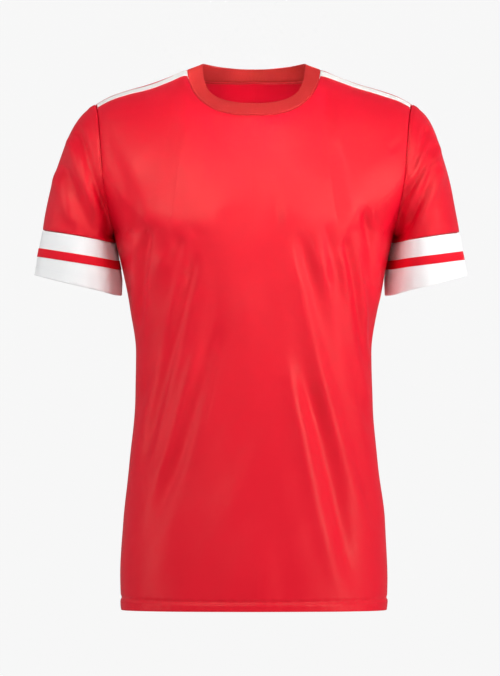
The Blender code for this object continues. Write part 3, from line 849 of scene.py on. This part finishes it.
def sewing_thread(name, low, high):
    """Smooth sewing thread, a little uneven from fibre to fibre."""
    finish = Finish(name, Specular_IOR_Level=0.5)
    fibres = finish.noise(finish.object_place(), 900.0, 1.0)
    finish.feed(
        Base_Color=finish.mixed(fibres, low, high),
        Roughness=fibres * 0.15 + 0.38,
    )
    return finish.material


RED = knit(
    "red_interlock_cloth", (0.70, 0.0014, 0.018), (0.80, 0.0024, 0.025),
    roughness=0.36, sheen=0.0, tint=(1, 0.70, 0.50), gloss=0.50,
)
BAND_RED = knit(
    "red_band_cloth", (0.74, 0.004, 0.016), (0.86, 0.008, 0.026),
    roughness=0.50, sheen=0.0, tint=(1, 0.6, 0.6), gloss=0.25,
)
WHITE = knit(
    "white_interlock_cloth", (0.88, 0.885, 0.89), (0.95, 0.955, 0.955),
    roughness=0.55, sheen=0.05, tint=(1, 1, 1), gloss=0.3,
)
RIB = rib_knit("red_rib_cloth", (0.47, 0.012, 0.011), (0.57, 0.021, 0.020))
TAPE = woven("white_tape_cloth", (0.90, 0.87, 0.83), (0.98, 0.95, 0.92))
RED_THREAD = sewing_thread("red_thread", (0.52, 0.004, 0.015), (0.74, 0.010, 0.030))
WHITE_THREAD = sewing_thread("white_thread", (0.74, 0.75, 0.77), (0.90, 0.90, 0.90))


# ---- Pieces ----

def ride_and_replace(piece, node):
    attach(piece, "root")
    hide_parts(node)


def add_stitching(name, lines, thread):
    stitching = sew(name, lines, thread)
    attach(stitching, "root")
    return stitching


# Front and back. Columns and rows past a seam (1 and 2) are its allowance
PANEL_COLUMNS = 220
PANEL_EDGE = 0.988      # where the closer columns beside the seams start
SEAM_COLUMNS = [-1.002, -1, -0.998, -0.994, -0.991]
SEAM_ROWS = [1.985, 1.990, 1.995, 2, 2.002]
FOLD_TOP = 0.0022       # heights where the hem's fold and the close rows beside it end
CLOSE_TOP = 0.024
EDGE_DEPTH = 0.0009     # how far the cloth turns in at a seam, at the neck's, and behind it
NECK_DEPTH = 0.0012
ALLOWANCE_DEPTH = 0.0022
ALLOWANCE = 0.002
STITCHED = 0.992        # how much of the width the hem's stitches cross, and their heights
STITCH_HEIGHTS = (HEM_DEPTH - 0.0035, HEM_DEPTH - 0.0001)


def body_columns():
    """Columns from side seam to side seam, closer together beside the seams."""
    inner = [-PANEL_EDGE + 2 * PANEL_EDGE * i / PANEL_COLUMNS for i in range(PANEL_COLUMNS + 1)]
    return SEAM_COLUMNS + inner + [-value for value in SEAM_COLUMNS[::-1]]


def body_rows(side):
    """Rows up a panel: the turned-in hem, its fold, then the outside up to the shoulders."""
    unit = PANELS[side].centre
    fold_top, close_top = FOLD_TOP / unit, CLOSE_TOP / unit
    rows = [(s, INNER) for s in spread(HEM_DEPTH / unit, fold_top, 5)]
    rows += turned_edge(0, TURN / unit)
    outside = spread(fold_top, close_top, 16) + spread(close_top, 1, 122)
    outside += spread(1, SEAM_ROWS[0], 54) + SEAM_ROWS
    return rows + [(s, FACE) for s in outside]


def seamed_panel(side, u, s, lift):
    """A panel's cloth with its seam edges turned in. Its allowance goes on behind the sleeve,
    and the front's goes on behind the back."""
    on_neck = np.abs(u) < NECK_SHARE
    beside = np.abs(u) > 1
    over = (s > 2) & ~on_neck
    at_seam = (np.abs(u) >= 1) | (s >= 2)
    deeper = np.select(
        [beside | over, s > 2, at_seam], [ALLOWANCE_DEPTH, NECK_DEPTH, EDGE_DEPTH], 0.0
    )
    point, normal = panel_cloth(side, np.clip(u, -1, 1), np.minimum(s, 2), lift - deeper)
    armhole = beside & (point[..., 2] > ARMHOLE_BOTTOM + ALLOWANCE)
    behind = (side < 0) & ((beside & ~armhole) | over)
    point = point + place_of(np.where(armhole, np.sign(u), 0), behind, 0) * ALLOWANCE
    return point, normal


def make_body():
    u = np.linspace(-STITCHED, STITCHED, 700)
    for name, side, cut in (("front", -1, (0.54, 0.75)), ("back", 1, (0.54, 0.76))):
        panel = lay_cloth(
            f"{name}_panel", body_columns(), body_rows(side), partial(seamed_panel, side), RED,
            turned=side > 0,
        )
        lines = [
            stitch_line(partial(panel_cloth, side), u, height / PANELS[side].centre)
            for height in STITCH_HEIGHTS
        ]
        stitching = add_stitching(f"{name}_hem_stitching", lines, RED_THREAD)
        ride_and_replace(panel, name)


# Sleeves, cuffs and stripes, in shares of the sleeve's length
SLEEVE_COLUMNS = 151
ARMHOLE_DIP = 0.0012    # how far the cloth dips into the armhole's and the cuff's seams
CUFF_DIP = 0.0025
CUFF_GAP = 0.0012       # from the cuff's seam to the cloth on each side, and to the close rows
CLOSE_ROWS = (0.003, 0.007, 0.012)
CUFF_FOLD = 0.0035      # the hem's fold, and how much of the cuff is turned in
CUFF_HEM = 0.06
CUFF_STITCHES = (1 - CUFF_HEM + 0.012, 1 - CUFF_HEM)
STRIPE_PROUD = 0.0006
STRIPE_SLOPE = 0.0005


def sleeve_rows():
    """Rows down a sleeve from the armhole's seam to the cuff's."""
    rows = [(0, FACE - ARMHOLE_DIP)]
    rows += [(s, FACE) for s in (0.002, 0.005, 0.009)]
    rows += [(s, FACE) for s in spread(0.013, CUFF_TOP - CLOSE_ROWS[-1], 56)]
    rows += [(CUFF_TOP - s, FACE) for s in CLOSE_ROWS[::-1]]
    return rows + [(CUFF_TOP - CUFF_GAP, FACE - CUFF_DIP)]


def cuff_rows():
    """Rows down a cuff from its seam, round the hem's fold and up the turned-in hem."""
    rows = [(CUFF_TOP + CUFF_GAP, FACE - CUFF_DIP)]
    rows += [(CUFF_TOP + s, FACE) for s in CLOSE_ROWS]
    rows += [(s, FACE) for s in spread(CUFF_TOP + 0.017, 0.990, 34)]
    rows += turned_edge(1, -CUFF_FOLD)[::-1]
    return rows + [(s, INNER) for s in spread(0.992, 1 - CUFF_HEM, 6) + [1 - CUFF_HEM]]


def stripe_rows():
    """Rows down a stripe, which stands a little proud of the cuff."""
    proud = FACE + STRIPE_PROUD
    rows = [(STRIPE_TOP, FACE), (STRIPE_TOP + STRIPE_SLOPE, proud)]
    rows += [(s, proud) for s in spread(STRIPE_TOP + 0.002, STRIPE_END - 0.002, 8)]
    return rows + [(STRIPE_END - STRIPE_SLOPE, proud), (STRIPE_END, FACE)]


def make_sleeves():
    around = np.linspace(0, 2 * math.pi, SLEEVE_COLUMNS)
    for hand, hand_name in HANDS.items():
        def place(angle, share, lift, hand=hand):
            return sleeve_cloth(hand, angle, np.clip(share, 0, 1), lift)

        tube = partial(lay_cloth, columns=around, place=place, tube=True, turned=hand < 0)
        sleeve = tube(f"sleeve_{hand_name}_cloth", rows=sleeve_rows(), finish=RED)
        ride_and_replace(sleeve, f"sleeve_{hand_name}")

        band = tube(f"cuff_{hand_name}_cloth", rows=cuff_rows(), finish=WHITE)
        ride_and_replace(band, f"cuff_{hand_name}")
        lines = [stitch_line(place, around, share) for share in CUFF_STITCHES]
        stitching = add_stitching(
            f"cuff_{hand_name}_stitching", lines, WHITE_THREAD
        )

        stripe = tube(
            f"stripe_{hand_name}_cloth", rows=stripe_rows(), finish=BAND_RED, thick=0.0004
        )
        ride_and_replace(stripe, f"stripe_{hand_name}")


# Collar, in shares of the band's height
RIBS = 300
RIB_COLUMNS = 4         # columns of the band's mesh to a rib
RIB_RISE = 0.00028
COLLAR_THICK = 0.0022
COLLAR_FOLD = 0.93      # where the folded edge starts, and how far it reaches from there
COLLAR_FOLD_REACH = 0.055
COLLAR_GROOVE = 0.0013  # depth of the groove along the seam's inner side


def collar_rows():
    """Rows up the band's outside, over its folded edge, and down inside past the neck seam."""
    inside = FACE - COLLAR_THICK
    groove = inside + COLLAR_GROOVE
    rows = [(0.005, FACE - 0.0016), (0.02, FACE - 0.0004)]
    rows += [(s, FACE) for s in spread(0.05, COLLAR_FOLD, 9)]
    for i in range(7):
        angle = math.pi * i / 6
        lift = (FACE + inside) / 2 + COLLAR_THICK / 2 * math.cos(angle)
        rows.append((COLLAR_FOLD + COLLAR_FOLD_REACH * math.sin(angle), lift))
    rows += [(s, inside) for s in spread(0.86, 0.06, 7)]
    rows += [(0.06, inside), (0.01, groove), (-0.03, groove), (-0.07, inside), (-0.12, inside)]
    return rows


def make_collar():
    angles = np.linspace(0, 360, 1441)
    along = lengths_along(collar_base(angles, np.full(angles.shape, 0.5)))

    def place(share, rise, lift):
        angle = np.interp(share, along / along[-1], angles)
        normal = outward(collar_base, angle, np.clip(rise, 0, 1))
        ribs = RIB_RISE * np.cos(2 * np.pi * RIBS * share)
        outer = np.where(lift > FACE - COLLAR_THICK / 2, ribs, -ribs)
        return collar_base(angle, rise) + normal * (lift + outer)[..., None], normal

    columns = np.linspace(0, 1, RIB_COLUMNS * RIBS + 1)
    collar = lay_cloth("collar_rib", columns, collar_rows(), place, RIB, thick=0, tube=True)
    ride_and_replace(collar, "collar")


# Shoulder tapes
TAPE_COLUMNS = 76
TAPE_PROUD = 0.0007     # how far the tape stands off the cloth, and its edges
TAPE_EDGE_PROUD = 0.0003
TAPE_SIDE = 0.05        # share of its width that is edge
TAPE_THICK = 0.0005
TAPE_COLUMN_RANGE = (0.4, 0.994)
TAPE_ROW_RANGE = (1.3, 2.0)
ROUNDS = 30
HALVINGS = 24
PULL = 3                # change of column for each metre that x is off


def shoulder_place(x, height):
    """The front panel's column and row at a place on the shoulder, seen from the front. Each
    round halves in on the row for the height, then moves the column towards x."""
    u = NECK_SHARE * (1 + (x - NECK_HALF_WIDTH) / (SHOULDER_POINT - NECK_HALF_WIDTH))
    for _ in range(ROUNDS):
        low, high = (np.full(x.shape, row) for row in TAPE_ROW_RANGE)
        for _ in range(HALVINGS):
            v = (low + high) / 2
            place = panel_base(-1, u, v)
            under = place[..., 2] < height
            low = np.where(under, v, low)
            high = np.where(under, high, v)
        u = np.clip(u + PULL * (x - place[..., 0]), *TAPE_COLUMN_RANGE)
    return u, v


def make_shoulder_tapes():
    rows = [(0, FACE + TAPE_EDGE_PROUD)]
    rows += [(s, FACE + TAPE_PROUD) for s in spread(TAPE_SIDE, 1 - TAPE_SIDE, 6)]
    rows += [(1 - TAPE_SIDE, FACE + TAPE_PROUD), (1, FACE + TAPE_EDGE_PROUD)]
    for hand, hand_name in HANDS.items():
        def place(share, across, lift, hand=hand):
            x = blend(blend(*TAPE_NECK, across), TAPE_ARM, share)
            drop = blend(TAPE_LOW.at(share).drop, TAPE_HIGH, across)
            u, v = shoulder_place(x, FRONT_HEIGHT.at(x).height - drop)
            return panel_cloth(-1, hand * u, v, lift)

        tape = lay_cloth(
            f"shoulder_tape_{hand_name}_cloth", np.linspace(0, 1, TAPE_COLUMNS), rows, place,
            TAPE, thick=TAPE_THICK, turned=hand < 0,
        )
        ride_and_replace(tape, f"shoulder_tape_{hand_name}")


# ---- Studio ----

FLOOR = -1.9
ROOM = 12.0
WALL_HEIGHT = 3.4
AIR_GLOW = 0.20

CAMERA_PLACE = (-0.00513, -6.0, -0.357)
VIEW_WIDTH = 0.9126     # what the camera sees across at the jersey
SENSOR = 36             # the camera's own width, in millimetres

BODY_AIM = (0, 0, -0.35)
CHEST_AIM = (0, 0, -0.14)

# Lights: diameter, watts and the beam's angle in degrees. One without shine gives no highlight
Light = namedtuple("Light", "name place aim size watts beam shine", defaults=[180, True])
LIGHTS = [
    Light("side", (3.8, -1.8, -0.1), BODY_AIM, 1.3, 34),
    Light("side_matt", (4.0, -1.4, -0.1), BODY_AIM, 1.3, 52, shine=False),
    Light("fill", (-4.2, -1.0, 0.9), BODY_AIM, 2.0, 34),
    Light("fill_matt", (-4.2, -0.9, 0.7), BODY_AIM, 2.0, 30, shine=False),
    Light("high", (2.7, -2.5, 1.8), BODY_AIM, 1.4, 64),
    Light("top", (-1.2, -2.8, 2.6), BODY_AIM, 1.6, 64),
    Light("back", (1.9, 3.9, 1.2), BODY_AIM, 1.8, 95, shine=False),
    Light("chest_0", (-0.8, -3.3, 0.0), CHEST_AIM, 0.4, 0.06, 13),
    Light("chest_1", (0.7, -3.3, 0.0), CHEST_AIM, 0.4, 0.08, 13),
    Light("chest_2", (2.2, -2.6, 0.0), CHEST_AIM, 0.4, 0.09, 13),
    Light("cuff_right", (1.6, -5, -0.2), (-0.2, 0, -0.22), 0.5, 0.010, 4),
    Light("cuff_left", (-1.6, -5, -0.2), (0.2, 0, -0.22), 0.5, 0.014, 4),
    Light("neck", (0.0, -3.4, -0.2), (0, 0.05, -0.02), 0.2, 0.08, 3.4),
]


def make_camera():
    camera = bpy.data.cameras.new("camera")
    camera.lens = SENSOR * -CAMERA_PLACE[1] / VIEW_WIDTH
    camera.clip_end = 100
    holder = bpy.data.objects.new("camera", camera)
    holder.location = CAMERA_PLACE
    holder.rotation_euler = (math.pi / 2, 0, 0)
    bpy.context.scene.collection.objects.link(holder)
    bpy.context.scene.camera = holder
    bpy.context.scene.view_settings.view_transform = "Standard"


def make_studio():
    """A pale floor, and a glowing wall that only the camera sees."""
    floor = bmesh.new()
    bmesh.ops.create_grid(floor, x_segments=8, y_segments=8, size=ROOM)
    bmesh.ops.translate(floor, verts=floor.verts, vec=(0, 0, FLOOR))
    wall = bmesh.new()
    bmesh.ops.create_cone(
        wall, cap_ends=False, segments=96, radius1=ROOM, radius2=ROOM, depth=WALL_HEIGHT,
        matrix=Matrix.Translation((0, 0, FLOOR + WALL_HEIGHT / 2)),
    )
    bmesh.ops.reverse_faces(wall, faces=wall.faces)
    for name, shape, tone, glow in (
        ("studio_floor", floor, 0.80, 0.0), ("studio_wall", wall, 0.10, 0.90),
    ):
        finish = Finish(
            name, Roughness=0.9, Specular_IOR_Level=0.1,
            Emission_Color=(1, 1, 1, 1), Emission_Strength=glow,
        )
        grain = finish.noise(finish.object_place(), 2.0)
        finish.feed(Base_Color=finish.mixed(grain, (tone,) * 3, (tone + 0.01,) * 3))
        piece = finish_piece(name, shape, finish.material)
        piece.visible_glossy = False
        piece.visible_diffuse = glow == 0.0


def make_lights():
    for light in LIGHTS:
        disc = bpy.data.lights.new(light.name, "AREA")
        disc.shape = "DISK"
        disc.size = light.size
        disc.energy = light.watts
        disc.spread = math.radians(light.beam)
        lamp = bpy.data.objects.new(light.name, disc)
        lamp.visible_glossy = light.shine
        lamp.location = light.place
        beam = Vector(light.aim) - Vector(light.place)
        lamp.rotation_euler = beam.to_track_quat("-Z", "Y").to_euler()
        bpy.context.scene.collection.objects.link(lamp)
    air = bpy.data.worlds.new("studio_air")
    air.use_nodes = True
    air.node_tree.nodes["Background"].inputs["Color"].default_value = (1, 1, 1, 1)
    air.node_tree.nodes["Background"].inputs["Strength"].default_value = AIR_GLOW
    bpy.context.scene.world = air


make_camera()
make_body()
make_sleeves()
make_collar()
make_shoulder_tapes()
make_studio()
make_lights()
